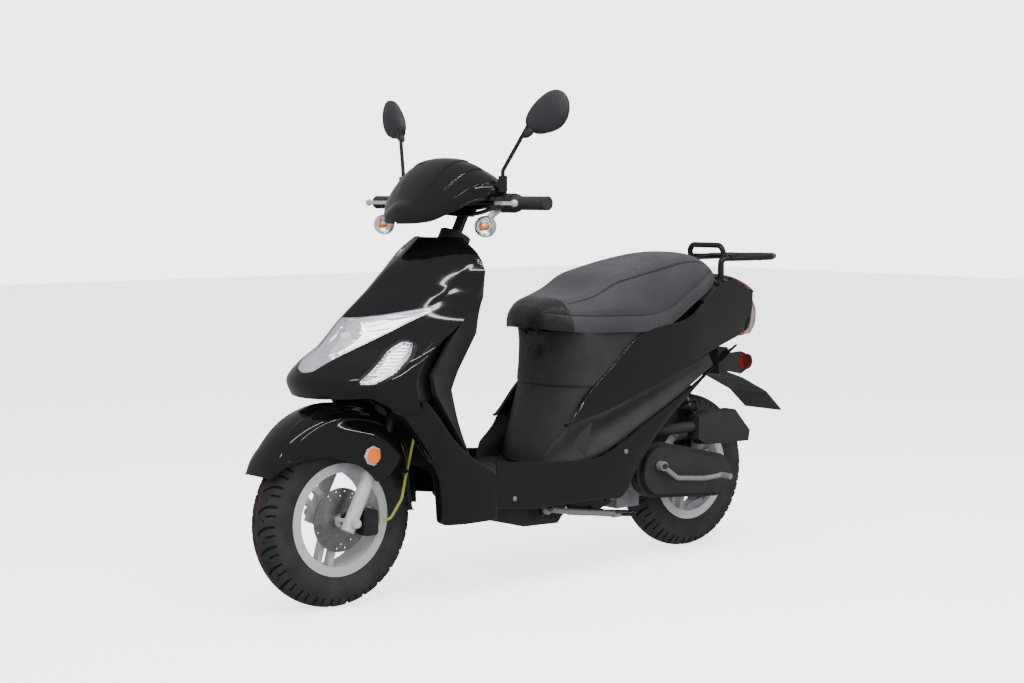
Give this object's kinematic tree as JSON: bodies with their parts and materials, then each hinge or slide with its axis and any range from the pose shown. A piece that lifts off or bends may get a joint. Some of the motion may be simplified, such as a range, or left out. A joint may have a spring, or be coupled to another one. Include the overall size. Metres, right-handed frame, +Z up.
{
  "type": "moped scooter",
  "caption": "Step-through scooter with steered front fork, sprung swing unit, opening seat, folding stands, levers and mirrors.",
  "frame": {"origin": "on the ground at the middle of the length and width", "axes": "+X forward, +Y to the left of the rider, +Z up"},
  "size_m": [1.775, 0.739, 1.2407],
  "materials": {
    "tyre": "treaded black tyre rubber",
    "rim": "painted silver cast alloy",
    "disc": "turned steel brake disc",
    "silver": "silver painted alloy",
    "steel": "bare steel",
    "gloss_black": "gloss black body plastic",
    "matte_black": "grained dark grey plastic",
    "black_tube": "black painted steel tube",
    "lens": "clear lamp lens",
    "reflector": "vacuum plated bowl",
    "bulb": "clear bulb",
    "red_lens": "red lens",
    "amber": "amber lens",
    "rubber": "black rubber",
    "seat": "grained dark seat cover",
    "casting": "sand cast alloy",
    "red_spring": "painted spring steel",
    "mirror_shell": "dark grey moulded shell round a glass"
  },
  "bodies": {
    "chassis": {"main_frame": "black_tube", "front_shield": "gloss_black", "headlamp_lens": "lens", "position_lamps": "lens", "headlamp_reflector": "reflector", "headlamp_bulb": "bulb", "inner_leg_shield": "matte_black", "ignition_lock": "steel", "lower_leg_cowl": "gloss_black", "floorboard": "matte_black", "side_skirts": "gloss_black", "tail_panels": "gloss_black", "seat_support_panels": "matte_black", "bag_hook": "matte_black", "belly_pan": "matte_black", "storage_bucket": "matte_black", "fuel_tank": "matte_black", "rear_rack": "black_tube", "tail_lamp": "red_lens", "mudflap": "matte_black", "rear_reflectors": "red_lens"},
    "steering": {"steering_stem": "black_tube", "left_grip": "rubber", "switch_housings": "matte_black", "handlebar_cowl": "gloss_black", "instrument_panel": "matte_black", "turn_signals": "lens", "mirror_stalks": "black_tube", "brake_hose": "rubber"},
    "throttle": {"throttle_grip": "rubber"},
    "lever_left": {"brake_lever_left": "silver"},
    "lever_right": {"brake_lever_right": "silver"},
    "mirror_left": {"mirror_head_left": "mirror_shell"},
    "mirror_right": {"mirror_head_right": "mirror_shell"},
    "horn_key": {"horn_button": "matte_black"},
    "indicator_key": {"indicator_switch": "matte_black"},
    "starter_key": {"starter_button": "matte_black"},
    "fork": {"fork_legs": "silver", "brake_caliper": "casting", "front_fender": "gloss_black", "fork_reflectors": "amber"},
    "front_wheel": {"front_rim": "rim", "front_tyre": "tyre", "brake_disc": "disc"},
    "engine": {"crankcase": "casting", "cvt_cover": "matte_black", "air_filter_box": "matte_black", "intake_bellows": "rubber", "exhaust": "black_tube"},
    "rear_wheel": {"rear_rim": "rim", "rear_tyre": "tyre"},
    "kick": {"kick_lever": "steel"},
    "brake_arm": {"rear_brake_arm": "steel"},
    "shock_upper": {"shock_rod": "steel", "shock_spring": "red_spring"},
    "shock_lower": {"shock_body": "black_tube"},
    "centre_stand": {"centre_stand": "black_tube"},
    "side_stand": {"side_stand": "steel"},
    "seat": {"seat_cushion": "seat", "seat_pan": "matte_black"}
  },
  "joints": [
    {"name": "steering", "type": "hinge", "parent": "chassis", "child": "steering", "pos_m": [0.43791, 0, 0.60052], "axis": [-0.454, 0, 0.891], "range_deg": [-38, 38]},
    {"name": "throttle", "type": "hinge", "parent": "steering", "child": "throttle", "pos_m": [0.28304, -0.3, 0.97054], "axis": [0, -1, 0], "range_deg": [0, 75], "stiffness_Nm_per_rad": 0.25},
    {"name": "lever_left", "type": "hinge", "parent": "steering", "child": "lever_left", "pos_m": [0.31904, 0.1984, 0.97054], "axis": [0, 0, 1], "range_deg": [0, 17], "stiffness_Nm_per_rad": 4},
    {"name": "lever_right", "type": "hinge", "parent": "steering", "child": "lever_right", "pos_m": [0.31904, -0.1984, 0.97054], "axis": [0, 0, -1], "range_deg": [0, 17], "stiffness_Nm_per_rad": 4},
    {"name": "mirror_left", "type": "hinge", "parent": "steering", "child": "mirror_left", "pos_m": [0.26904, 0.259, 1.16154], "axis": [0, 0, 1], "range_deg": [-8, 8]},
    {"name": "mirror_right", "type": "hinge", "parent": "steering", "child": "mirror_right", "pos_m": [0.26904, -0.259, 1.16154], "axis": [0, 0, 1], "range_deg": [-8, 8]},
    {"name": "horn_press", "type": "slide", "parent": "steering", "child": "horn_key", "axis": [1, 0, 0], "range_m": [0, 0.002], "stiffness_N_per_m": 600},
    {"name": "indicator_slide", "type": "slide", "parent": "steering", "child": "indicator_key", "axis": [0, 1, 0], "range_m": [-0.005, 0.005], "stiffness_N_per_m": 200},
    {"name": "starter_press", "type": "slide", "parent": "steering", "child": "starter_key", "axis": [1, 0, 0], "range_m": [0, 0.002], "stiffness_N_per_m": 600},
    {"name": "fork_travel", "type": "slide", "parent": "steering", "child": "fork", "axis": [-0.454, 0, 0.891], "range_m": [-0.012, 0.018], "stiffness_N_per_m": 30000, "springref_m": -0.0085, "deforming": ["brake_hose"]},
    {"name": "front_wheel_spin", "type": "hinge", "parent": "fork", "child": "front_wheel", "pos_m": [0.6725, 0, 0.215], "axis": [0, 1, 0], "continuous": true},
    {"name": "swing", "type": "hinge", "parent": "chassis", "child": "engine", "pos_m": [-0.17, 0, 0.18], "axis": [0, 1, 0], "range_deg": [-4, 6], "stiffness_Nm_per_rad": 9000, "springref_deg": -0.74},
    {"name": "rear_wheel_spin", "type": "hinge", "parent": "engine", "child": "rear_wheel", "pos_m": [-0.5275, 0, 0.215], "axis": [0, 1, 0], "continuous": true},
    {"name": "kick_start", "type": "hinge", "parent": "engine", "child": "kick", "pos_m": [-0.289, 0.16, 0.265], "axis": [0, -1, 0], "range_deg": [0, 55], "stiffness_Nm_per_rad": 3, "springref_deg": -20.05},
    {"name": "rear_brake_arm", "type": "hinge", "parent": "engine", "child": "brake_arm", "pos_m": [-0.505, 0.107, 0.147], "axis": [0, -1, 0], "range_deg": [0, 13.6]},
    {"name": "shock_tilt", "type": "hinge", "parent": "chassis", "child": "shock_upper", "pos_m": [-0.452, 0.076, 0.474], "axis": [0, 1, 0], "range_deg": [-0.5, 0.5]},
    {"name": "shock_travel", "type": "slide", "parent": "shock_upper", "child": "shock_lower", "axis": [0.356, 0, 0.9345], "range_m": [-0.03, 0.042], "deforming": ["shock_spring"]},
    {"name": "centre_stand", "type": "hinge", "parent": "chassis", "child": "centre_stand", "pos_m": [-0.112, 0, 0.158], "axis": [0, -1, 0], "range_deg": [0, 75], "stiffness_Nm_per_rad": 6, "springref_deg": -34.38},
    {"name": "side_stand", "type": "hinge", "parent": "chassis", "child": "side_stand", "pos_m": [0.084, 0.118, 0.186], "axis": [0, -0.7632, -0.6462], "range_deg": [0, 88], "stiffness_Nm_per_rad": 4, "springref_deg": -28.65},
    {"name": "seat_lid", "type": "hinge", "parent": "chassis", "child": "seat", "pos_m": [0.038, 0, 0.633], "axis": [0, 1, 0], "range_deg": [0, 56]}
  ],
  "couplings": [
    {"joint": "shock_tilt", "follows": "swing", "ratio": -0.03065},
    {"joint": "shock_travel", "follows": "swing", "m_per_rad": 0.36794},
    {"joint": "rear_brake_arm", "follows": "lever_left", "ratio": 0.8}
  ]
}
